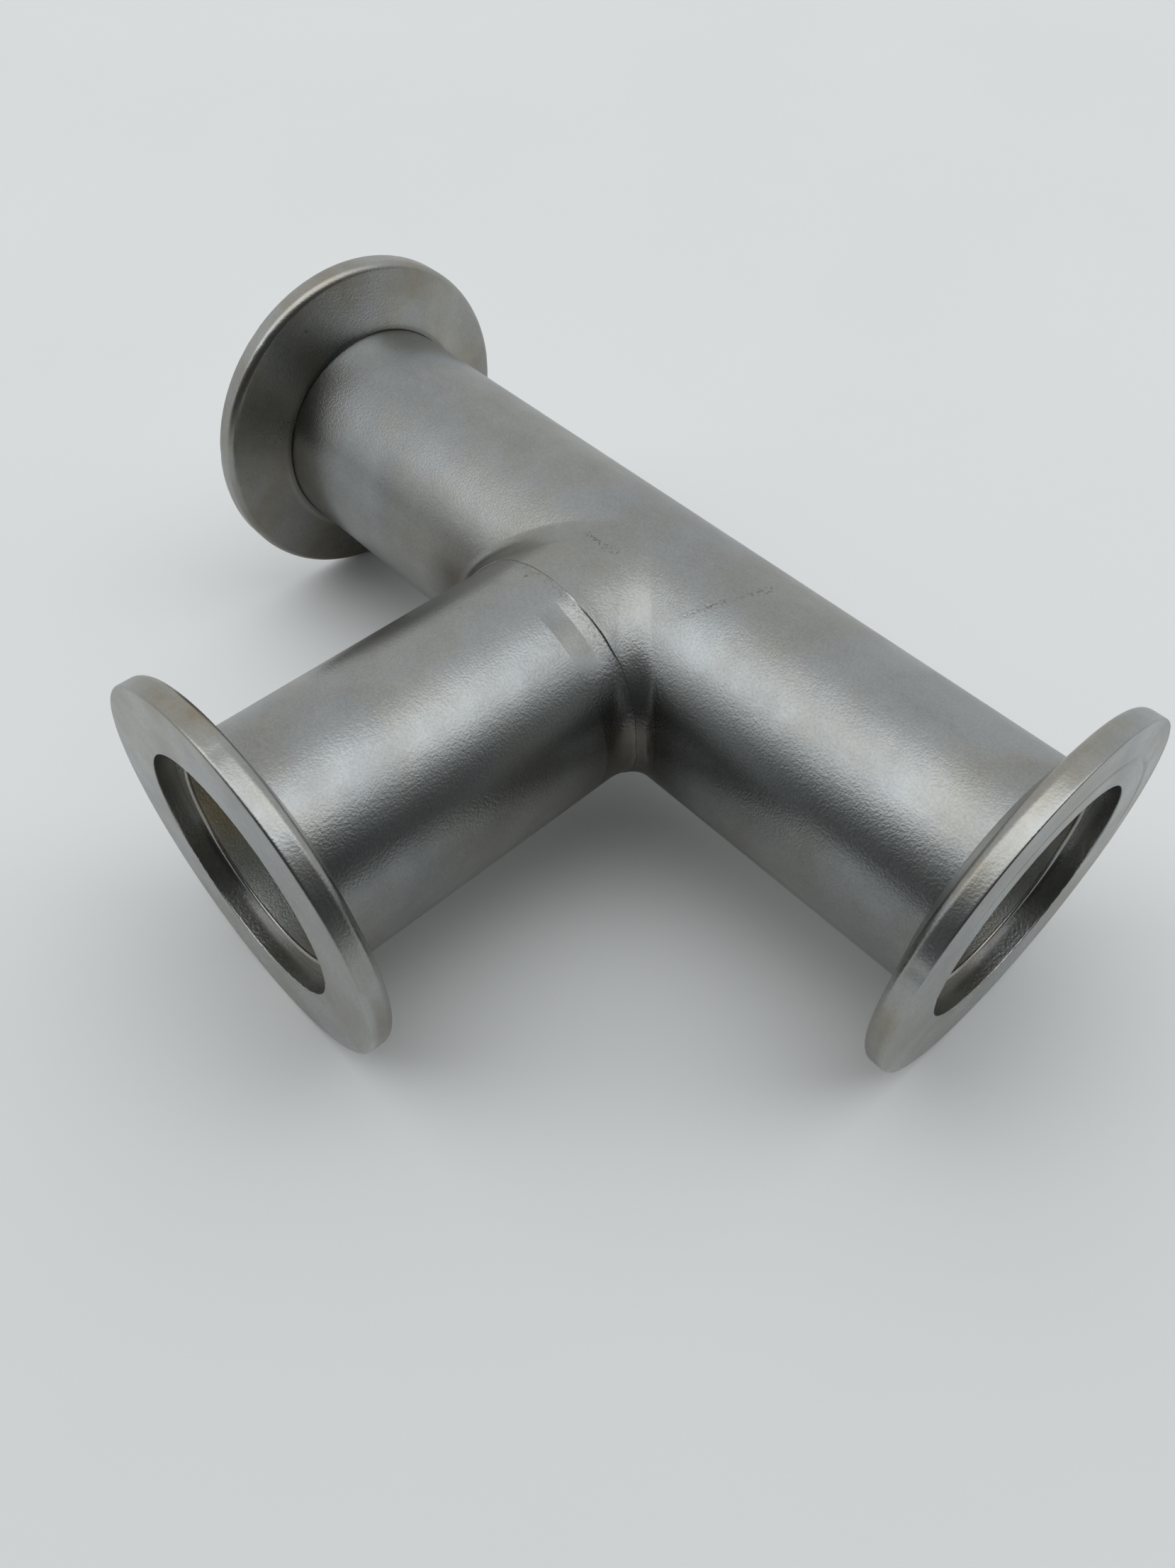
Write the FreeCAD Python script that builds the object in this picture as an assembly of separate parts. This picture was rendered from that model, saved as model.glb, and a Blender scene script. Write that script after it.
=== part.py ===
import FreeCAD, Part
import math
import os

# Vacuum tee for quick clamp flanges, welded from 1 inch stainless tube.
# The origin is where the two tube axes cross, the run lies along X, the branch along -Y and +Z is up.
# All sizes are in millimetres.

# Tubes
tube_outer_diameter = 25.4
tube_wall = 1.65
run_centre_to_face = 50.8
branch_centre_to_face = 50.8

# Collar pulled out of the run, and the butt weld that joins the branch to it
crotch_radius = 3.0
crotch_flats = 2
collar_stand = 0.4
branch_weld_toe = 0.6

# Clamp flanges
flange_diameter = 40.0
rim_thickness = 2.4
clamp_cone_angle = 15.0
rim_corner_break = 0.7
face_edge_break = 0.3
hub_lip = 0.25
counterbore_diameter = 26.2
counterbore_depth = 2.0
seat_clearance = 0.05

# Seal weld that runs round inside each flange, over the end of its tube
seal_weld_throat = 0.4
seal_weld_edge_break = 0.25

# Sizes worked out from the ones above
tube_radius = tube_outer_diameter / 2
bore_radius = tube_radius - tube_wall
flange_radius = flange_diameter / 2
counterbore_radius = counterbore_diameter / 2
seat_radius = tube_radius + seat_clearance
hub_radius = seat_radius + hub_lip
cone_slope = math.tan(math.radians(clamp_cone_angle))
tube_end_depth = counterbore_depth + seal_weld_throat
run_reach = run_centre_to_face - tube_end_depth
branch_reach = branch_centre_to_face - tube_end_depth
collar_end = tube_radius + collar_stand
branch_weld_end = tube_radius + crotch_radius + branch_weld_toe
flat_turn = math.radians(90) / (crotch_flats + 1)

# Directions
centre = FreeCAD.Vector(0, 0, 0)
along_run = FreeCAD.Vector(1, 0, 0)
along_branch = FreeCAD.Vector(0, -1, 0)
upward = FreeCAD.Vector(0, 0, 1)

os.makedirs("parts", exist_ok=True)


def rod(radius, start, end, direction):
    """A solid cylinder about the line through the centre, between two distances along it."""
    base = centre + direction * start
    return Part.makeCylinder(radius, end - start, base, direction)


def turned(section):
    """A ring about X, from its section's corners as distance along X and radius."""
    corners = [along_run * distance + upward * radius for distance, radius in section]
    outline = Part.makePolygon(corners + corners[:1])
    return Part.Face(outline).revolve(centre, along_run, 360)


def crotch_bar(radius, blend_radius, turn, side):
    """The bar that has one flat of a crotch as its skin: as tall as the tube, and drawn along the flat.

    Seen from above, a crotch is a rolling radius between the tubes, made as flats that touch it at even
    turns. Higher up, the flats draw in as the tubes' own section does, so each bar's section is an ellipse
    whose half width is the flat's distance from the centre."""
    middle = radius + blend_radius
    across = side * math.sin(turn) + along_branch * math.cos(turn)
    along = side * math.cos(turn) - along_branch * math.sin(turn)
    half_width = middle * (math.sin(turn) + math.cos(turn)) - blend_radius
    outline = Part.Ellipse(across * half_width, upward * radius, centre)
    section = Part.Face(Part.Wire(outline.toShape()))
    section.translate(along * -2 * middle)
    return section.extrude(along * 4 * middle)


def crotch_wedge(radius, blend_radius, turn, side):
    """An upright wedge from the centre line out past the two corners where a flat ends."""
    middle = radius + blend_radius
    corner_reach = blend_radius / math.cos(flat_turn / 2)
    plan = [centre]
    for corner_turn in (turn - flat_turn / 2, turn + flat_turn / 2):
        sideways = side * (middle - corner_reach * math.sin(corner_turn))
        outwards = along_branch * (middle - corner_reach * math.cos(corner_turn))
        plan.append((sideways + outwards).normalize() * 2 * middle)
    base = Part.Face(Part.makePolygon(plan + [centre]))
    base.translate(upward * -middle)
    return base.extrude(upward * 2 * middle)


def crossed_rods(radius, blend_radius):
    """A rod along the run joined to an equal rod along the branch, with metal in the two crotches."""
    joined = [rod(radius, 0, branch_weld_end + crotch_radius, along_branch)]
    for side in (along_run, along_run * -1):
        for number in range(crotch_flats):
            turn = flat_turn * (number + 1)
            bar = crotch_bar(radius, blend_radius, turn, side)
            joined.append(bar.common(crotch_wedge(radius, blend_radius, turn, side)))
    return rod(radius, -run_reach, run_reach, along_run).fuse(joined).removeSplitter()


def tee_wall():
    """The wall of run and collar: the collar is pulled from the run, so its wall is as thick all round."""
    outside = crossed_rods(tube_radius, crotch_radius)
    inside = crossed_rods(bore_radius, crotch_radius + tube_wall)
    return outside.cut(inside)


def slab(start, end):
    """Everything near the branch between two distances along it."""
    reach = run_centre_to_face
    corner = FreeCAD.Vector(-reach, -end, -reach)
    return Part.makeBox(2 * reach, end - start, 2 * reach, corner)


def run_tube(wall):
    return wall.common(slab(-run_centre_to_face, collar_end))


def branch_weld(wall):
    return wall.common(slab(collar_end, branch_weld_end))


def branch_tube():
    outside = rod(tube_radius, branch_weld_end, branch_reach, along_branch)
    return outside.cut(rod(bore_radius, branch_weld_end, branch_reach, along_branch))


def clamp_flange(face):
    """A flange about X: a flat sealing face and rim, and the cone behind it that the clamp draws on."""
    cone_start = face - rim_thickness
    corner_foot = cone_start - rim_corner_break * cone_slope
    back = cone_start - (flange_radius - hub_radius) * cone_slope
    floor = face - counterbore_depth
    return turned([
        (face, counterbore_radius),
        (face, flange_radius - face_edge_break),
        (face - face_edge_break, flange_radius),
        (cone_start + rim_corner_break, flange_radius),
        (corner_foot, flange_radius - rim_corner_break),
        (back, hub_radius),
        (back, seat_radius),
        (floor, seat_radius),
        (floor, counterbore_radius),
    ])


def seal_weld(face):
    """A bead about X that fills the seat over the tube's end, flush with the counterbore's floor."""
    floor = face - counterbore_depth
    tube_end = face - tube_end_depth
    return turned([
        (tube_end, bore_radius),
        (tube_end, seat_radius),
        (floor, seat_radius),
        (floor, bore_radius + seal_weld_edge_break),
        (floor - seal_weld_edge_break, bore_radius),
    ])


def at_port(shape, turn):
    """A copy of a shape made for the +X port, turned about Z to its own port."""
    copy = shape.copy()
    copy.rotate(centre, upward, turn)
    return copy


def write(shape, name):
    solid = shape.Solids[0]
    print(name, "solids", len(shape.Solids), "valid", solid.isValid(), "volume", round(solid.Volume, 1))
    solid.exportStep("parts/" + name + ".step")


wall = tee_wall()
write(run_tube(wall), "run_tube")
write(branch_weld(wall), "branch_weld")
write(branch_tube(), "branch_tube")

# Each port has its distance from the centre and its turn about Z from +X
ports = {
    "right": (run_centre_to_face, 0),
    "left": (run_centre_to_face, 180),
    "branch": (branch_centre_to_face, -90),
}
for port, (face, turn) in ports.items():
    write(at_port(clamp_flange(face), turn), "flange_" + port)
    write(at_port(seal_weld(face), turn), "seal_weld_" + port)
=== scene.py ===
import bmesh
import bpy
import numpy as np
from mathutils import Matrix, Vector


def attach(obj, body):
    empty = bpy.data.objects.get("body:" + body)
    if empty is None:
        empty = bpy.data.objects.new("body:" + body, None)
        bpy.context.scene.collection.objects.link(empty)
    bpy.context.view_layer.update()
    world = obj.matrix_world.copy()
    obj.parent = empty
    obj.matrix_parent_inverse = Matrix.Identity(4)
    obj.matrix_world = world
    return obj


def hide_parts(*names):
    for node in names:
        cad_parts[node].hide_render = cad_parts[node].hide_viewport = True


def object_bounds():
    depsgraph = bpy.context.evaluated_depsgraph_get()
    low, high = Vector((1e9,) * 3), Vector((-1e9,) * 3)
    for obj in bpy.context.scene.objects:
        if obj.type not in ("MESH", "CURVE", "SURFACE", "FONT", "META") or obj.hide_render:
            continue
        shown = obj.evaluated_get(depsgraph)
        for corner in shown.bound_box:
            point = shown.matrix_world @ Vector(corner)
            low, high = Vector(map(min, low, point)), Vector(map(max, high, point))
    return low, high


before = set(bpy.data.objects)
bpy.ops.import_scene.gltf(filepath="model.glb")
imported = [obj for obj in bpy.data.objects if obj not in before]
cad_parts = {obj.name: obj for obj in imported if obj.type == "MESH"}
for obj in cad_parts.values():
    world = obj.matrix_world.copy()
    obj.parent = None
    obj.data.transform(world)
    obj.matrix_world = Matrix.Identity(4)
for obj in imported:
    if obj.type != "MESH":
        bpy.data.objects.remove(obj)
cad_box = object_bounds()


# Camera. A phone held above the fitting, looking down on the front of the branch and the right hand port.
# Its place and its three axes are in the CAD frame, in metres, found from the rims and tubes in the
# photograph.
camera_place = (0.066214, -0.070298, 0.091226)
camera_right = (0.68284, 0.73050, 0.01037)
camera_up = (-0.57523, 0.52884, 0.62404)
camera_forward = (-0.45038, 0.43209, -0.78132)
camera_lens = bpy.data.cameras.new("camera")
camera_lens.lens = 27.58
camera_lens.sensor_width = 36
camera_lens.clip_start = 0.005
camera = bpy.data.objects.new("camera", camera_lens)
camera_axes = np.array([camera_right, camera_up, -np.array(camera_forward), camera_place]).T
camera.matrix_world = Matrix([*camera_axes.tolist(), [0, 0, 0, 1]])
bpy.context.scene.collection.objects.link(camera)
bpy.context.scene.camera = camera
bpy.context.scene.view_settings.view_transform = "Standard"


# Floor. A sheet of pale matt board that the three rims stand on, a little uneven in tone.
# It is stage, not part of the fitting, and it takes the fitting's soft shadow.
def add(tree, kind, sockets=(), **settings):
    """A node of this kind, with its settings, and with each input given as a value or as the output that
    feeds it."""
    made = tree.nodes.new(kind)
    for setting, value in settings.items():
        setattr(made, setting, value)
    for socket, value in dict(sockets).items():
        if isinstance(value, bpy.types.NodeSocket):
            tree.links.new(value, made.inputs[socket])
        else:
            made.inputs[socket].default_value = value
    return made


def quads(rows, columns):
    """The faces of a grid of points, each as the numbers of its four corners."""
    index = np.arange(rows * columns).reshape(rows, columns)
    corners = [index[:-1, :-1], index[1:, :-1], index[1:, 1:], index[:-1, 1:]]
    return np.stack(corners, axis=-1).reshape(-1, 4)


floor_height = float(cad_box[0][2])
floor_reach = 3.0
floor_rows = 13
board_roughness = 0.75
board_dark = (0.90, 0.91, 0.902, 1)
board_light = (0.94, 0.948, 0.94, 1)
towards_camera = (0.743, -0.669, 0)
# Painted shade: the board is painted a little darker nearer the camera, and darker still in what the steel
# reflects, most of all further towards the camera, which darkens the steel's undersides. Each change is given
# by where it starts and ends, in metres towards the camera, and by its two shares.
board_seen_shade = {1: 0.01, 2: 0.15, 3: 1.0, 4: 0.87}
board_reflected_shade = {1: 0.06, 2: 0.35, 3: 0.86, 4: 0.35}

floor_steps = np.linspace(-floor_reach, floor_reach, floor_rows)
floor_x, floor_y = np.meshgrid(floor_steps, floor_steps, indexing="ij")
floor_points = np.stack([floor_x, floor_y, np.full_like(floor_x, floor_height)], axis=-1)
floor_mesh = bpy.data.meshes.new("floor")
floor_mesh.from_pydata(floor_points.reshape(-1, 3).tolist(), [], quads(floor_rows, floor_rows).tolist())
floor = bpy.data.objects.new("floor", floor_mesh)
bpy.context.scene.collection.objects.link(floor)

floor_paint = bpy.data.materials.new("pale_board")
floor_paint.use_nodes = True
tree = floor_paint.node_tree
board = tree.nodes["Principled BSDF"]
board.inputs["Roughness"].default_value = board_roughness
place = add(tree, "ShaderNodeTexCoord").outputs["Object"]
cloud = add(tree, "ShaderNodeTexNoise", {"Vector": place, "Scale": 14.0, "Detail": 4.0}).outputs["Fac"]
tone = add(tree, "ShaderNodeMix", {0: cloud, 6: board_dark, 7: board_light}, data_type="RGBA")
# Painted shade: the board's colour is scaled down towards the camera, and further for rays other than the
# camera's own.
forward = add(tree, "ShaderNodeVectorMath", {0: place, 1: towards_camera}, operation="DOT_PRODUCT")
seen = add(tree, "ShaderNodeMapRange", {0: forward.outputs["Value"], **board_seen_shade}).outputs[0]
reflected_shade = add(tree, "ShaderNodeMapRange", {0: forward.outputs["Value"], **board_reflected_shade}).outputs[0]
camera_ray = add(tree, "ShaderNodeLightPath").outputs["Is Camera Ray"]
share = add(tree, "ShaderNodeMix", {0: camera_ray, 2: reflected_shade, 3: seen}).outputs[0]
shown = add(tree, "ShaderNodeVectorMath", {0: tone.outputs[2], 3: share}, operation="SCALE").outputs[0]
tree.links.new(shown, board.inputs["Base Color"])
floor_mesh.materials.append(floor_paint)


# Light. Soft light from a long pale ceiling panel, which lies overhead across the line of sight. The room
# behind the camera is dim, and lighter behind the fitting. It is all the world's colour, by direction, with
# no lamp. The camera itself sees a plain pale backdrop past the floor.
view_azimuth = -42
room_dim = 0.05
room_light = 0.67
panel_glow = 1.69
panel_half_length = 0.84
panel_half_width = 0.34
panel_shift = -0.04
panel_lean = 0.035
panel_dark_from = 1.3
panel_bright_within = 0.72
panel_tint = (0.975, 1.0, 1.015)
backdrop = (0.66, 0.69, 0.695, 1)
world = bpy.data.worlds.new("soft_studio")
bpy.context.scene.world = world
world.use_nodes = True
tree = world.node_tree
sky = tree.nodes["Background"]
direction = add(tree, "ShaderNodeTexCoord").outputs["Generated"]


def level_towards(azimuth):
    """How far the ray leans to this level direction: the dot product of the two unit vectors."""
    turn = np.radians(azimuth)
    aim = (np.cos(turn), np.sin(turn), 0)
    return add(tree, "ShaderNodeVectorMath", {0: direction, 1: aim}, operation="DOT_PRODUCT").outputs["Value"]


def fade(value, start, end, low, high):
    """A smooth step of a value, from low at start to high at end."""
    sockets = {"Value": value, 1: start, 2: end, 3: low, 4: high}
    return add(tree, "ShaderNodeMapRange", sockets, interpolation_type="SMOOTHSTEP").outputs[0]


across = level_towards(view_azimuth + 90)
nearer = level_towards(view_azimuth)
room = fade(nearer, 0.5, -0.5, room_dim, room_light)
from_middle = add(tree, "ShaderNodeMath", {0: across, 1: -panel_shift}, operation="ADD").outputs[0]
leaning = add(tree, "ShaderNodeMath", {0: nearer, 1: -panel_lean}, operation="ADD").outputs[0]
panel_place = add(tree, "ShaderNodeCombineXYZ", {"X": from_middle, "Y": leaning}).outputs[0]
panel_shape = {0: panel_place, 1: (1 / panel_half_length, 1 / panel_half_width, 0)}
panel_stretch = add(tree, "ShaderNodeVectorMath", panel_shape, operation="MULTIPLY").outputs[0]
from_panel = add(tree, "ShaderNodeVectorMath", {0: panel_stretch}, operation="LENGTH").outputs["Value"]
upright = add(tree, "ShaderNodeSeparateXYZ", {0: direction}).outputs["Z"]
within = fade(from_panel, panel_dark_from, panel_bright_within, 0.0, 1.0)
overhead = fade(upright, 0.0, 0.2, 0.0, 1.0)
panel = add(tree, "ShaderNodeMath", {0: within, 1: overhead}, operation="MULTIPLY").outputs[0]
glow = add(tree, "ShaderNodeMix", {0: panel, 2: room, 3: panel_glow}).outputs[0]
sky_colour = add(tree, "ShaderNodeVectorMath", {0: panel_tint, 3: glow}, operation="SCALE").outputs[0]
camera_ray = add(tree, "ShaderNodeLightPath").outputs["Is Camera Ray"]
shown_sky = add(tree, "ShaderNodeMix", {0: camera_ray, 6: sky_colour, 7: backdrop}, data_type="RGBA")
tree.links.new(shown_sky.outputs[2], sky.inputs["Color"])


# Run tube. One inch stainless tube, drawn and bead blasted. The branch's collar is pulled out of its side
# in one piece with it, so the wall is as thick all round the crotch, and its two ends sit in the flanges.
# Shapes are worked out in millimetres, from here on.
mm_per_metre = 1000
merge_distance = 2e-6
tube_radius = 12.7
bore_radius = 11.05
tube_end = 48.4
blend_along_run = 1.85
blend_along_run_more = 1.15
blend_along_branch = 3.1
collar_depth = 12.05
collar_trim = 1.30
lip_height = 0.05
lip_width = 0.9
second_line_depth = 0.07
second_line_behind = 0.55
front_rows = 241
back_rows = 161
# Points along the straight stretch, the crotch and the collar, on the outer and on the inner skin
outer_columns = (49, 41, 21)
inner_columns = (13, 21, 9)
steel_tone = (0.348, 0.356, 0.350, 1)
tube_roughness = 0.31
tube_grain = 1.2


def grid(rows, columns, surface):
    """Points of a surface of two parameters, each running from 0 to 1, as rows by columns by three."""
    u, v = np.meshgrid(np.linspace(0, 1, rows), np.linspace(0, 1, columns), indexing="ij")
    return np.stack(np.broadcast_arrays(*surface(u, v)), axis=-1)


def strip(edge, other):
    """The ruled surface between two lines of points."""
    return np.stack([edge, other], axis=1)


def closed_piece(name, patches, sharp=35):
    """One mesh from grids of points in millimetres, merged where they meet, with its faces turned outwards
    and its edges kept sharp from an angle in degrees."""
    corners, faces, start = [], [], 0
    for patch in patches:
        rows, columns, _ = patch.shape
        corners.append(patch.reshape(-1, 3) / mm_per_metre)
        faces.append(quads(rows, columns) + start)
        start += rows * columns
    mesh = bpy.data.meshes.new(name)
    mesh.from_pydata(np.concatenate(corners).tolist(), [], np.concatenate(faces).tolist())
    work = bmesh.new()
    work.from_mesh(mesh)
    bmesh.ops.remove_doubles(work, verts=work.verts, dist=merge_distance)
    bmesh.ops.recalc_face_normals(work, faces=work.faces)
    work.to_mesh(mesh)
    work.free()
    mesh.shade_smooth()
    mesh.set_sharp_from_angle(angle=np.radians(sharp))
    piece = bpy.data.objects.new(name, mesh)
    bpy.context.scene.collection.objects.link(piece)
    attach(piece, "root")
    return piece


def places(piece):
    """The x, y and z of a piece's vertices, in millimetres."""
    found = np.empty(len(piece.data.vertices) * 3)
    piece.data.vertices.foreach_get("co", found)
    return found.reshape(-1, 3).T * mm_per_metre


def mark(piece, name, values):
    """A number from 0 to 1 at each vertex, kept as an attribute that the material reads."""
    layer = piece.data.attributes.new(name, "FLOAT", "POINT")
    layer.data.foreach_set("value", np.clip(values, 0, 1).astype(np.float32))


def bump_line(distance, width):
    """A bell curve of a distance: 1 on the line, and nearly 0 from twice the width away."""
    return np.exp(-(distance / width) ** 2)


def ramp(value, start, end):
    """A smooth climb from 0 at start to 1 at end."""
    share = np.clip((value - start) / (end - start), 0, 1)
    return share * share * (3 - 2 * share)


def crotch_reach(radius, angle):
    """How far past the tubes' corner the crotch's blend reaches, along the run and along the branch, at an
    angle up the tubes. It is about 3 mm at half height, tighter along the run higher up, and gone at the
    crown. The inner skin has the wall's thickness more, so that both skins leave the run at the same
    place."""
    lean = np.maximum(np.abs(np.cos(angle)), 1e-6)
    wall = (tube_radius - radius) * lean
    along_run = (blend_along_run + blend_along_run_more * lean ** 4) * np.tanh(lean / 0.22)
    along_branch = blend_along_branch * np.tanh(lean / 0.26)
    return along_run + wall, along_branch + wall


def branch_side(radius, angle, depth):
    """How far out from the branch's middle plane the skin is, at an angle round the branch and a depth
    along it. In plan the crotch is a quarter of an ellipse that touches the run and the branch, and beyond
    it is the branch's own cylinder."""
    lean = np.abs(np.cos(angle))
    along_run, along_branch = crotch_reach(radius, angle)
    cosine = np.clip((radius * lean + along_branch - depth) / along_branch, 0, 1)
    return radius * lean + along_run * (1 - np.sqrt(1 - cosine ** 2))


def collar_rim(angle):
    """How far along the branch the pulled collar ends: level over the top and underneath, and further out
    in the two crotches, where the collar was trimmed to follow the blend. The edge wanders a little all
    round."""
    lean = np.abs(np.cos(angle))
    wander = 0.05 * np.sin(5 * angle + 0.6) + 0.02 * np.sin(17 * angle) + 0.012 * np.sin(31 * angle + 1)
    return collar_depth + collar_trim * np.clip((lean - 0.72) / 0.28, 0, 1) ** 2 + wander


def lip(angle, depth):
    """The collar's height over the weld: highest at its rim and nearly gone two millimetres back, with a
    shallow second line just behind the rim at half height in each crotch."""
    behind = collar_rim(angle) - depth
    second = bump_line(behind - second_line_behind, 0.09) * bump_line(np.sin(angle) - 0.02, 0.14)
    return lip_height * bump_line(behind, lip_width) - second_line_depth * second


def spread(v):
    """The share of the way from the tube's end to the crotch: a fifth of the steps takes the first 60
    percent of it, where the tube is plain."""
    return np.interp(v, (0, 0.2, 1), (0, 0.6, 1))


def tee_side(radius, hand, raised, columns):
    """The front skin to one side of the branch, from the tube's end round the crotch to the collar's rim.
    One parameter is the angle from straight underneath to the crown, the other goes along the skin. Hand is
    1 or -1 for the side, and raised is 1 on the skin that carries the collar's lip, and otherwise 0."""
    def straight(u, v):
        angle = np.pi * (u - 0.5)
        touch = radius * np.cos(angle) + crotch_reach(radius, angle)[0]
        out = tube_end + (touch - tube_end) * spread(v)
        return hand * out, -radius * np.cos(angle), radius * np.sin(angle)

    def around(u, v):
        angle = np.pi * (u - 0.5)
        lean = np.cos(angle)
        along_run, along_branch = crotch_reach(radius, angle)
        last = np.arccos(np.clip((radius * lean + along_branch - collar_rim(angle)) / along_branch, 0, 1))
        out = radius * lean + along_run * (1 - np.sin(last * v))
        depth = radius * lean + along_branch * (1 - np.cos(last * v))
        return lifted(angle, out, depth)

    def collar(u, v):
        angle = np.pi * (u - 0.5)
        touch = radius * np.cos(angle) + crotch_reach(radius, angle)[1]
        first = np.minimum(touch, collar_rim(angle))
        depth = first + (collar_rim(angle) - first) * v
        return lifted(angle, branch_side(radius, angle, depth), depth)

    def lifted(angle, out, depth):
        rise = raised * lip(angle, depth)
        out = out + rise * np.cos(angle)
        depth = depth + 0.5 * rise * np.cos(angle) ** 4
        return hand * out, -depth, (radius + rise) * np.sin(angle)

    return [grid(front_rows, count, skin) for count, skin in zip(columns, (straight, around, collar))]


def back_half(radius, columns):
    """The plain half of the run, behind the branch, from end to end, stepped as the front is."""
    def surface(u, v):
        angle = np.pi * (0.5 + u)
        along = np.sign(2 * v - 1) * tube_end * (1 - spread(1 - np.abs(2 * v - 1)))
        return along, -radius * np.cos(angle), radius * np.sin(angle)
    return grid(back_rows, 2 * columns[0] - 1, surface)


run_patches = []
for hand in (1, -1):
    outside = tee_side(tube_radius, hand, 1, outer_columns)
    inside = tee_side(bore_radius, hand, 0, inner_columns)
    run_patches += outside + inside
    run_patches.append(strip(outside[0][:, 0], inside[0][:, 0]))
    run_patches.append(strip(outside[2][:, -1], inside[2][:, -1]))
back_outside = back_half(tube_radius, outer_columns)
back_inside = back_half(bore_radius, inner_columns)
run_patches += [back_outside, back_inside]
run_patches.append(strip(back_outside[:, 0], back_inside[:, 0]))
run_patches.append(strip(back_outside[:, -1], back_inside[:, -1]))
run_tube = closed_piece("run_tube_drawn", run_patches)
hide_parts("run_tube")


def crotch_dirt_and_shade(x, y, z):
    """How much dirt and painted shade lie low in the two crotches: most at the corner, gone 8 mm from it and
    9 mm up the tubes."""
    return ramp(np.hypot(np.abs(x) - 14, y + 14), 8, 2) * ramp(z, 9, 3)


x, y, z = places(run_tube)
flange_side = ramp(np.abs(x), 38, 50)
near_branch = ramp(np.hypot(x, z), 19, 15)
crotch_side = bump_line(y + 11.5, 3.0) * near_branch
mark(run_tube, "tint", 0.45 * flange_side + 0.25 * crotch_side)
# Two broken arcs of scuffs on the crown: one on the side of the right hand port, the other over the branch
front_arc = bump_line(x - (14.35 + 0.383 * y - 0.0265 * y ** 2), 0.27) * (z > 9) * (y > -6.4) * (y < 3.4)
crown_arc = bump_line(y + 5.0 - 0.08 * (x + 0.6) ** 2, 0.27) * (z > 10) * (x > -3) * (x < 1.6)
mark(run_tube, "scuff", front_arc * (0.65 + 0.35 * np.cos(1.12 * (y + 3.3))) + 0.8 * crown_arc)
mark(run_tube, "dimples", 0.6 * bump_line(y + 11.5, 2.5) * near_branch * ramp(z, 10.5, 6.5) * ramp(x, -4, 4))
# Painted shade: the tube is darker lower down, and so is the bottom of each crotch, there with some dirt.
mark(run_tube, "dirt_and_shade", 0.36 * ramp(z, 8.5, 2) + 0.64 * crotch_dirt_and_shade(x, y, z))
# Painted light: the inside of the bore is made lighter.
mark(run_tube, "bore", ramp(np.hypot(y, z), 12.2, 11.6) * (np.abs(x) > 13))


# The finish that every piece shares: a fine blasted grain, soft clouds, a few pits and hairline scratches.
# Painted masks are read from the attributes that mark leaves, and a piece without one has none of it. The
# dirt and shade mask darkens the colour as painted shade with some dirt, and the bore mask lightens the bores
# as painted light.
# Depths are in millimetres, and the numbers of waves are to the metre.
painted_masks = ("Tint", "Dirt_and_shade", "Scuff", "Dimples", "Brushed", "Bore")
warm_hue = (1.03, 1.0, 0.945, 1)
cool_hue = (0.98, 1.0, 1.03, 1)
tint_colour = (0.84, 0.71, 0.53, 1)
dirt_and_shade_colour = (0.34, 0.32, 0.30, 1)
scuff_colour = (0.10, 0.095, 0.085, 1)
pit_colour = (0.14, 0.13, 0.12, 1)
fine_depth = 0.018
coarse_depth = 0.004
hammered_depth = 0.030
hairline_depth = 0.0006
brushed_depth = 0.008

satin = bpy.data.node_groups.new("satin_steel", "ShaderNodeTree")
satin.interface.new_socket("Tone", in_out="INPUT", socket_type="NodeSocketColor")
for socket in ("Roughness", "Grain", "Cloud", "Streak", *painted_masks):
    satin.interface.new_socket(socket, in_out="INPUT", socket_type="NodeSocketFloat")
satin.interface.new_socket("Lines", in_out="INPUT", socket_type="NodeSocketVector")
satin.interface.new_socket("Colour", in_out="OUTPUT", socket_type="NodeSocketColor")
satin.interface.new_socket("Roughness", in_out="OUTPUT", socket_type="NodeSocketFloat")
satin.interface.new_socket("Normal", in_out="OUTPUT", socket_type="NodeSocketVector")
tree = satin
given = add(tree, "NodeGroupInput").outputs
result = add(tree, "NodeGroupOutput").inputs
place = add(tree, "ShaderNodeTexCoord").outputs["Object"]


def noise(vector, scale, detail=2.0, rough=0.5):
    """Noise about 0.5, with this many waves to the metre."""
    sockets = {"Vector": vector, "Scale": scale, "Detail": detail, "Roughness": rough}
    return add(tree, "ShaderNodeTexNoise", sockets).outputs["Fac"]


def math(operation, a, b):
    """What an operation makes of two numbers, each a value or an output."""
    return add(tree, "ShaderNodeMath", {0: a, 1: b}, operation=operation).outputs[0]


def blend_colour(factor, a, b, kind="MIX"):
    """Colour a with this share of colour b mixed in, or laid over it in another kind of blend."""
    return add(tree, "ShaderNodeMix", {0: factor, 6: a, 7: b}, data_type="RGBA", blend_type=kind).outputs[2]


grain_fine = math("SUBTRACT", noise(place, 4000.0, 1.0, 0.6), 0.5)
grain_coarse = math("SUBTRACT", noise(place, 1700.0, 2.0), 0.5)
hammered = math("SUBTRACT", noise(place, 3000.0, 1.0), 0.5)
hue = fade(noise(place, 62.0, 3.0, 0.55), 0.36, 0.64, 0.0, 1.0)
clouds = noise(place, 120.0, 5.0, 0.6)
streaks = noise(given["Lines"], 1.0, 3.0, 0.6)
pit_field = add(tree, "ShaderNodeTexVoronoi", {"Vector": place, "Scale": 360.0}).outputs["Distance"]
pit_choice = fade(noise(place, 300.0, 0.0), 0.74, 0.78, 0.0, 1.0)
pits = math("MULTIPLY", fade(pit_field, 0.12, 0.05, 0.0, 1.0), pit_choice)
scuff_specks = math("MULTIPLY", given["Scuff"], fade(noise(place, 2900.0, 2.0), 0.52, 0.60, 0.0, 1.0))
smooth = math("SUBTRACT", 1.0, given["Brushed"])

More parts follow.
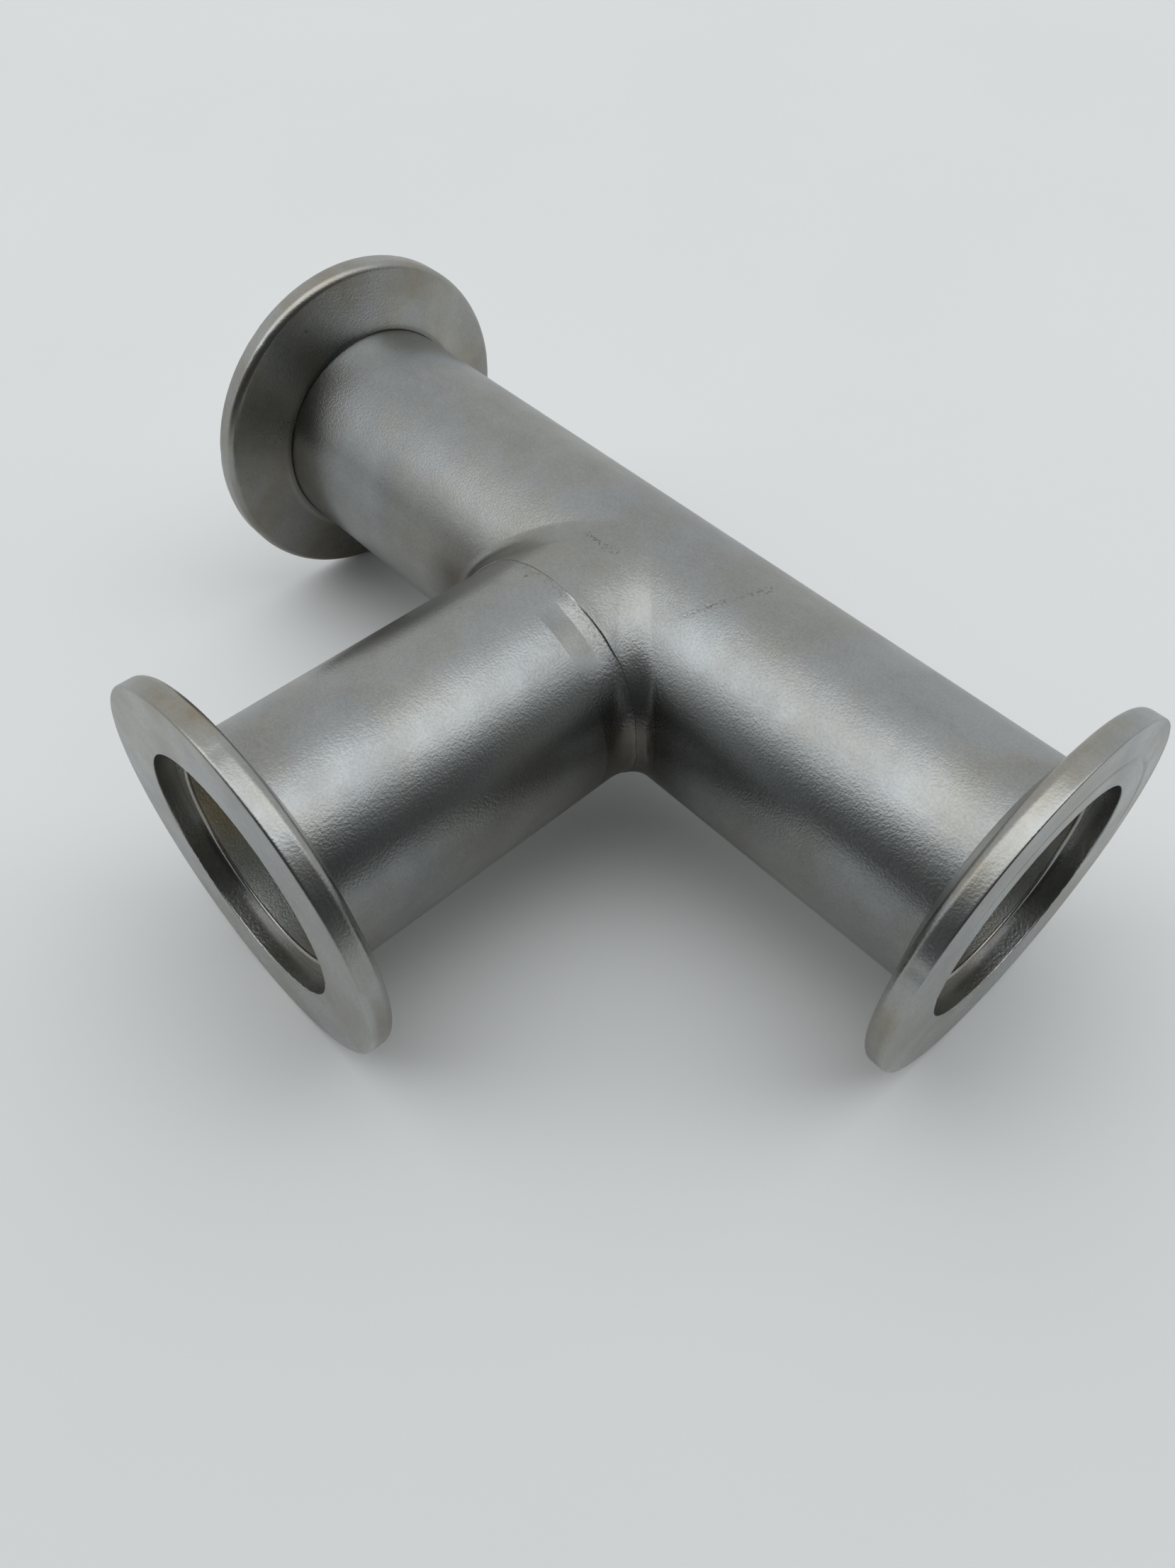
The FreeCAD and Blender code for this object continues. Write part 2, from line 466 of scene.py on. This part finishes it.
cloud_shift = math("MULTIPLY", fade(clouds, 0.3, 0.7, -0.5, 0.5), given["Cloud"])
streak_shift = math("MULTIPLY", fade(streaks, 0.3, 0.7, -0.5, 0.5), given["Streak"])
speckle = math("MULTIPLY", math("MULTIPLY", grain_fine, given["Grain"]), 0.30)
mottle = math("ADD", math("MULTIPLY", cloud_shift, 0.17), math("MULTIPLY", streak_shift, 0.04))
brightness = math("ADD", 1.0, math("ADD", mottle, speckle))
toned = add(tree, "ShaderNodeVectorMath", {0: given["Tone"], 3: brightness}, operation="SCALE").outputs[0]
hued = blend_colour(1.0, toned, blend_colour(hue, warm_hue, cool_hue), "MULTIPLY")
tint_patch = math("MULTIPLY", given["Tint"], fade(noise(place, 170.0, 3.0), 0.42, 0.66, 0.25, 1.0))
warmed = blend_colour(tint_patch, hued, tint_colour, "MULTIPLY")
# Painted shade, with some dirt: the dirt and shade mask darkens the colour low down, in the crotches and in
# recesses.
dirtied_and_shaded = blend_colour(given["Dirt_and_shade"], warmed, dirt_and_shade_colour, "MULTIPLY")
# Painted light: the bore mask makes the inside of the bores up to 2.3 times as light.
bore_painted_light = math("ADD", 1.0, math("MULTIPLY", given["Bore"], 1.3))
bore_lightened = add(tree, "ShaderNodeVectorMath", {0: dirtied_and_shaded, 3: bore_painted_light}, operation="SCALE").outputs[0]
marked = blend_colour(scuff_specks, bore_lightened, scuff_colour)
pitted = blend_colour(math("MULTIPLY", pits, 0.5), marked, pit_colour)
tree.links.new(pitted, result["Colour"])

roughness_shift = math("ADD", math("MULTIPLY", cloud_shift, -0.06), math("MULTIPLY", streak_shift, -0.04))
roughness_shift = math("ADD", roughness_shift, math("MULTIPLY", given["Bore"], 0.03))
roughness = math("ADD", given["Roughness"], math("ADD", roughness_shift, math("MULTIPLY", scuff_specks, 0.2)))
tree.links.new(roughness, result["Roughness"])

grain = math("ADD", math("MULTIPLY", grain_fine, fine_depth), math("MULTIPLY", grain_coarse, coarse_depth))
blasted = math("MULTIPLY", grain, math("MULTIPLY", smooth, given["Grain"]))
dimpled = math("MULTIPLY", math("MULTIPLY", hammered, hammered_depth), given["Dimples"])
scratch_depth = math("ADD", hairline_depth, math("MULTIPLY", given["Brushed"], brushed_depth))
scratches = math("MULTIPLY", math("SUBTRACT", streaks, 0.5), scratch_depth)
relief = math("ADD", math("ADD", blasted, dimpled), scratches)
bump = add(tree, "ShaderNodeBump", {"Height": relief, "Distance": 0.001, "Strength": 1.0})
tree.links.new(bump.outputs["Normal"], result["Normal"])


def steel(name, tone, roughness, grain, cloud, streak, lines, source=None):
    """A metal material with the shared finish. Lines is the size, along each axis, of one streak, in
    millimetres. The axes are the object's own, or those of the vector attribute that source names."""
    made = bpy.data.materials.new(name)
    made.use_nodes = True
    own = made.node_tree
    surface = own.nodes["Principled BSDF"]
    surface.inputs["Metallic"].default_value = 1.0
    if source:
        axes = add(own, "ShaderNodeAttribute", attribute_name=source).outputs["Vector"]
    else:
        axes = add(own, "ShaderNodeTexCoord").outputs["Object"]
    scale = [mm_per_metre / length for length in lines]
    stretch = add(own, "ShaderNodeMapping", {"Vector": axes, "Scale": scale})
    finish = own.nodes.new("ShaderNodeGroup")
    finish.node_tree = satin
    given = {"Tone": tone, "Roughness": roughness, "Grain": grain, "Cloud": cloud, "Streak": streak}
    for socket, value in given.items():
        finish.inputs[socket].default_value = value
    for socket in painted_masks:
        painted = add(own, "ShaderNodeAttribute", attribute_name=socket.lower())
        own.links.new(painted.outputs["Fac"], finish.inputs[socket])
    own.links.new(stretch.outputs[0], finish.inputs["Lines"])
    own.links.new(finish.outputs["Colour"], surface.inputs["Base Color"])
    own.links.new(finish.outputs["Roughness"], surface.inputs["Roughness"])
    own.links.new(finish.outputs["Normal"], surface.inputs["Normal"])
    return made


run_steel = steel("drawn_run_steel", steel_tone, tube_roughness, tube_grain, 1.0, 0.4, (25, 0.9, 0.9))
run_tube.data.materials.append(run_steel)


# Weld. A butt weld joins the collar to the branch's tube. It was ground back in two passes: one left a
# crease beside the collar and slopes down from it, the other slopes up to the tube. Coarse dimples are left
# towards the crotches.
weld_end = 16.35
weld_middle = 14.5
weld_valley = 13.8
crease_width = 0.16
# Each arc that the wheel passed over: its middle and half of its reach, in degrees, and its depth
wheel_arcs = ((61, 23, 0.20), (140, 24, 0.08), (205, 32, 0.12), (290, 36, 0.12))
wheel_fade = 16


def valley_depth(angle):
    """How deep the ground valley is at an angle round the branch: arcs where the wheel passed, each fading
    at its ends. The first is the one over the top, on the right hand port's side."""
    turn = np.degrees(angle) % 360
    depth = 0
    for middle, half, deepest in wheel_arcs:
        apart = np.abs((turn - middle + 180) % 360 - 180)
        depth = depth + deepest * ramp(apart, half, half - wheel_fade)
    return depth


def weld_surface(radius, ground):
    """The ring from the collar's rim to the branch's tube: the tee's own skin, sunk along its normal into
    the ground valley, with more steps near the rim. Ground is 1 on the outer skin and 0 inside."""
    rows, columns = 481, 61
    angle = np.linspace(-np.pi, np.pi, rows)[:, None]
    share = np.linspace(0, 1, columns)[None, :] ** 1.25
    rim = collar_rim(angle)
    depth = rim + (weld_end - rim) * share
    out = branch_side(radius, angle, depth) * np.sign(np.cos(angle))
    skin = np.stack([out, -depth, radius * np.sin(angle) + 0 * share], axis=-1)
    along = np.gradient(skin, axis=1)
    around = np.gradient(skin, axis=0)
    around[[0, -1]] = skin[1] - skin[-2]
    normal = np.cross(along, around)
    normal /= np.linalg.norm(normal, axis=-1, keepdims=True)
    outward = np.sign(np.sum(normal * (skin + [0, weld_middle, 0]), axis=-1, keepdims=True))
    sloped = 0.5 + 0.5 * np.clip((depth - rim) / (weld_valley - rim), 0, 1)
    level = ramp(depth - rim, 0, crease_width) * sloped
    flats = np.minimum(level, (weld_end - depth) / (weld_end - weld_valley))
    wander = 0.018 * np.sin(7 * angle + 2 * share) + 0.012 * np.sin(13 * angle + 1.3)
    wander = wander * np.sin(np.pi * share)
    skin = skin + normal * outward * (ground * (wander - valley_depth(angle) * flats))[..., None]
    skin[-1] = skin[0]
    return skin


weld_outside = weld_surface(tube_radius, 1)
weld_inside = weld_surface(bore_radius, 0)
weld = closed_piece("branch_weld_ground", [
    weld_outside, weld_inside,
    strip(weld_outside[:, 0], weld_inside[:, 0]),
    strip(weld_outside[:, -1], weld_inside[:, -1]),
])
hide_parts("branch_weld")
x, y, z = places(weld)
turn = np.arctan2(z, x)
ground_flat = ramp(valley_depth(turn), 0.02, 0.12)
past_valley = ramp(-y, weld_valley - 0.1, weld_valley + 0.1) * ramp(-y, weld_end, weld_end - 0.15)
second_pass = ground_flat * past_valley
ground_band = ramp(-y, 11.9, 12.3) * ramp(-y, 13.8, 13.3)
mark(weld, "tint", 0.2 + 0 * x)
mark(weld, "scuff", 0.25 * bump_line(y + 12.6, 0.6))
dimpled_side = ramp(np.abs(np.degrees(turn) - 40), 46, 10)
mark(weld, "dimples", (1 - second_pass) * (1 - 0.6 * ground_flat) * dimpled_side)
mark(weld, "brushed", second_pass)
# Painted shade: the weld is darker lower down and at the bottom of each crotch, there with some dirt, and a
# little darker on the second pass's flat.
settled_dirt_and_shade = crotch_dirt_and_shade(x, y, z) * (1 - 0.25 * ground_band)
mark(weld, "dirt_and_shade", 0.4 * ramp(z, 8.5, 2) + 0.6 * settled_dirt_and_shade + 0.1 * second_pass)
# Painted light: the weld's bore side is made lighter.
mark(weld, "bore", ramp(np.hypot(x, z), 12.2, 11.6) * (y < -13))
weld_steel = steel("ground_weld_steel", steel_tone, tube_roughness, tube_grain, 1.0, 0.6, (6, 0.2, 6))
weld.data.materials.append(weld_steel)


# Branch tube. The same one inch tube, cut square, butt welded to the collar and seated in the branch's
# flange.
def branch_wall(radius):
    """A cylinder about the branch: one parameter is the angle round it, the other the distance along it."""
    def surface(u, v):
        angle = 2 * np.pi * u - np.pi
        return radius * np.cos(angle), -weld_end - (tube_end - weld_end) * v, radius * np.sin(angle)
    return grid(321, 65, surface)


branch_outside = branch_wall(tube_radius)
branch_inside = branch_wall(bore_radius)
branch_tube = closed_piece("branch_tube_drawn", [
    branch_outside, branch_inside,
    strip(branch_outside[:, 0], branch_inside[:, 0]),
    strip(branch_outside[:, -1], branch_inside[:, -1]),
])
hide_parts("branch_tube")
x, y, z = places(branch_tube)
outer_skin = ramp(np.hypot(x, z), 11.6, 12.2)
heat_tint = ramp(-y, 42, 47) * (1 - outer_skin) * ramp(z, -9, -3)
outer_tint = 0.45 * ramp(-y, 38, 50) + 0.15 * bump_line(y + 16.4, 2.5)
mark(branch_tube, "tint", outer_skin * outer_tint + heat_tint)
mark(branch_tube, "dimples", 0.5 * outer_skin * ramp(-y, 18.5, 16.4) * ramp(z, 10.5, 6.5))
# Painted shade: the outer skin is darker lower down, and at the bottom of the crotch, there with some dirt.
mark(branch_tube, "dirt_and_shade", outer_skin * (0.46 * ramp(z, 9, 2) + 0.3 * crotch_dirt_and_shade(x, y, z)))
# Painted light: the inside of the bore is made lighter.
mark(branch_tube, "bore", 1 - outer_skin)
branch_steel = steel("drawn_branch_steel", steel_tone, tube_roughness, tube_grain, 1.0, 0.4, (0.9, 25, 0.9))
branch_tube.data.materials.append(branch_steel)


# Flanges. Turned stainless rings with a flat sealing face, a rounded rim, and a cone behind it that the
# clamp draws on. The counterbore in the face takes the centring ring, and the tube sits in the smaller bore
# behind it.
port_face = 50.8
flange_radius = 20.0
rim_thickness = 2.4
clamp_cone_angle = np.radians(15)
face_edge_break = 0.3
rim_corner_radius = 1.0
hub_radius = 13.0
seat_radius = 12.75
counterbore_radius = 13.1
counterbore_depth = 2.0
counterbore_edge_break = 0.08
chip_count = 70
dent_count = 6
# The ring that a seal pressed into the right hand face: its middle and its radius
pressed_middle = (0.2, -1.5)
pressed_radius = 17.0


def arc(centre, radius, start, end, count):
    """Points on an arc in the plane of depth behind the face and radius, between two angles in degrees."""
    turn = np.radians(np.linspace(start, end, count))
    return np.stack([centre[0] - radius * np.cos(turn), centre[1] + radius * np.sin(turn)], axis=-1)


def line(start, end, count):
    """Points on a straight line, both ends included."""
    return np.linspace(start, end, count)


def flange_profile():
    """The flange's section as depth behind the face and radius, once round: out over the face, round its
    edge, back over the rim, round the corner, down the cone, and in through the seat and the
    counterbore."""
    edge = arc((face_edge_break, flange_radius - face_edge_break), face_edge_break, 0, 90, 9)
    reach = rim_corner_radius * np.tan((np.pi / 2 - clamp_cone_angle) / 2)
    corner_centre = (rim_thickness - reach, flange_radius - rim_corner_radius)
    corner = arc(corner_centre, rim_corner_radius, 90, 180 - np.degrees(clamp_cone_angle), 17)
    back = rim_thickness + (flange_radius - hub_radius) * np.tan(clamp_cone_angle)
    soft = counterbore_edge_break
    return np.concatenate([
        line((0, counterbore_radius + soft), edge[0], 60)[:-1],
        edge,
        line(edge[-1], corner[0], 10)[1:-1],
        corner,
        line(corner[-1], (back, hub_radius), 36)[1:],
        line((back + 0.02, hub_radius - 0.06), (back + 0.02, seat_radius), 3),
        line((back, seat_radius), (counterbore_depth, seat_radius), 10)[1:],
        line((counterbore_depth, seat_radius), (counterbore_depth, counterbore_radius), 4)[1:],
        line((counterbore_depth, counterbore_radius), (soft, counterbore_radius), 16)[1:],
        arc((soft, counterbore_radius + soft), soft, -90, 0, 4)[1:],
    ])


def turned(profile, steps, relief):
    """The profile carried once round the X axis, moved along X and outwards by relief, a function of the
    angle, the depth and the radius that gives a pair of small moves."""
    angle = np.linspace(0, 2 * np.pi, steps)[:, None]
    depth, radius = profile[None, :, 0], profile[None, :, 1]
    sink, grow = relief(angle, depth, radius)
    depth, radius = depth + sink, radius + grow
    return np.stack([port_face - depth, radius * np.cos(angle), radius * np.sin(angle)], axis=-1)


def at_port(points, turn):
    """Points made for the right hand port, turned about the upright axis to their own port."""
    c, s = np.cos(np.radians(turn)), np.sin(np.radians(turn))
    return points @ np.array([[c, s, 0], [-s, c, 0], [0, 0, 1]])


def chips(angle, seed):
    """Small chips out of the counterbore's sharp edge: narrow dips at uneven places, deepest in its lower
    half."""
    chance = np.random.default_rng(seed)
    where = chance.uniform(0, 2 * np.pi, chip_count)[:, None, None]
    size = chance.uniform(0.02, 0.10, chip_count)[:, None, None] * (0.25 + 0.75 * (np.sin(where) < -0.1))
    width = chance.uniform(0.008, 0.022, chip_count)[:, None, None]
    apart = np.abs(np.angle(np.exp(1j * (angle[None] - where))))
    return np.max(size * np.exp(-(apart / width) ** 2), axis=0)


def dents(angle, seed):
    """Shallow dents round the rim, from knocks: a few at uneven places."""
    chance = np.random.default_rng(seed)
    where = chance.uniform(0, 2 * np.pi, dent_count)[:, None, None]
    size = chance.uniform(0.02, 0.07, dent_count)[:, None, None]
    apart = np.abs(np.angle(np.exp(1j * (angle[None] - where))))
    return np.sum(size * np.exp(-(apart / 0.035) ** 2), axis=0)


def face_relief(port, seed):
    """What use left on each flange: dents in the rim, and on the face a low waviness, the chipped
    counterbore edge, and on the right hand port the ring that a seal pressed off centre. All of it is sunk
    inwards."""
    def relief(angle, depth, radius):
        on_face = np.exp(-(depth / 0.15) ** 2)
        wave = 0.006 * (1 + np.sin(2 * angle + seed)) * on_face
        near_edge = np.exp(-((radius - counterbore_radius) / 0.14) ** 2) * on_face
        sink = wave + chips(angle, seed) * near_edge
        if port == "right":
            y, z = radius * np.cos(angle), radius * np.sin(angle)
            away = np.hypot(y - pressed_middle[0], z - pressed_middle[1]) - pressed_radius
            seen = np.clip((np.sin(angle) + 0.35) / 0.6, 0, 1)
            pressed = 0.16 * bump_line(away, 0.17) + 0.12 * ramp(away, 0.3, 2.4)
            sink = sink + on_face * seen * pressed * ramp(radius, flange_radius, flange_radius - 0.35)
        return sink, -dents(angle, seed) * ramp(radius, flange_radius - 1.2, flange_radius - 0.1)
    return relief


def turning(piece, turn):
    """Each vertex's depth behind its own port's face, radius, and place across the port and up. It also
    paints the vector that the turning marks follow: how far along the section, then round the port."""
    x, across, up = at_port(places(piece).T, -turn).T
    depth, radius = port_face - x, np.hypot(across, up)
    marks = np.stack([radius + depth, 3 * across / radius, 3 * up / radius], axis=-1) / mm_per_metre
    piece.data.attributes.new("turning", "FLOAT_VECTOR", "POINT").data.foreach_set("vector", marks.ravel())
    return depth, radius, across, up


# Each port's turn about the upright axis, and the seed of its own chips and dents
ports = {"right": (0, 3), "left": (180, 11), "branch": (-90, 7)}
flange_tone = (0.383, 0.391, 0.384, 1)
turned_lines = (0.3, 9, 9)
flange_steel = steel("turned_flange_steel", flange_tone, 0.29, 0.8, 1.2, 0.5, turned_lines, "turning")
for port, (turn, seed) in ports.items():
    skin = at_port(turned(flange_profile(), 385, face_relief(port, seed)), turn)
    skin = np.concatenate([skin, skin[:, :1]], axis=1)
    flange = closed_piece("flange_" + port + "_turned", [skin])
    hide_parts("flange_" + port)
    depth, radius, across, up = turning(flange, turn)
    # A brown stain on top of the branch's rim
    stain = np.exp(-((across + 1) / 4) ** 2 - ((up - 20) / 1.5) ** 2) * (port == "branch")
    in_counterbore = ramp(radius, 13.25, 13.15) * (depth > 0.1)
    joint = ramp(radius, 14.2, 13.0) * ramp(depth, 3.0, 3.4)
    outside = ramp(depth, 0.3, 0.9) * ramp(radius, 13.3, 14)
    mark(flange, "tint", 0.2 + 0.8 * stain + 0.2 * joint + 0.25 * outside)
    # Painted shade: darker inside the counterbore and on the lower half of the rim and cone; darker too at
    # the joint with the tube.
    mark(flange, "dirt_and_shade", 0.38 * in_counterbore + 0.2 * joint + 0.5 * outside * ramp(up, 8, -8))
    mark(flange, "dimples", 0.6 * in_counterbore)
    flange.data.materials.append(flange_steel)


# Seal welds. Inside each flange a bead is run over the tube's end without filler, so that the joint is
# tight. It lies flush with the counterbore's floor, bright and faintly rippled, and its inner edge rounds
# into the bore.
seal_back = 2.4
seal_edge = 0.28
bead_middle = 11.95
ripple_depth = 0.03
ripples_round = 96
seal_tone = (0.43, 0.43, 0.425, 1)


def seal_profile():
    """The bead's section as depth and radius: back along the seat, in along the tube's end, and round the
    edge to its free face."""
    return np.concatenate([
        line((counterbore_depth, seat_radius), (seal_back, seat_radius), 4),
        line((seal_back, seat_radius), (seal_back, bore_radius), 8)[1:],
        line((seal_back, bore_radius), (counterbore_depth + seal_edge, bore_radius), 3)[1:-1],
        arc((counterbore_depth + seal_edge, bore_radius + seal_edge), seal_edge, -90, 0, 9),
        line((counterbore_depth, bore_radius + seal_edge), (counterbore_depth, seat_radius), 18)[1:],
    ])


def ripples(angle, depth, radius):
    """The bead's ripples: shallow waves that trail along the bead, only on its free face."""
    middle = np.clip(1 - ((radius - bead_middle) / 0.7) ** 2, 0, 1)
    free = np.exp(-((depth - counterbore_depth) / 0.12) ** 2)
    wave = 0.5 + 0.5 * np.sin(ripples_round * angle + 5 * (radius - bead_middle) ** 2)
    return ripple_depth * middle * free * wave, 0 * middle * wave


seal_steel = steel("seal_weld_steel", seal_tone, 0.27, 0.8, 0.5, 0.4, turned_lines, "turning")
for port, (turn, _) in ports.items():
    bead = closed_piece("seal_weld_" + port + "_bead", [at_port(turned(seal_profile(), 577, ripples), turn)])
    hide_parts("seal_weld_" + port)
    depth, radius, across, up = turning(bead, turn)
    mark(bead, "tint", 0.15 + 0.25 * ramp(radius, 12.0, 11.2))
    # Painted shade: the lower half of the bead is darker.
    mark(bead, "dirt_and_shade", 0.2 * ramp(up, 4, -4))
    bead.data.materials.append(seal_steel)
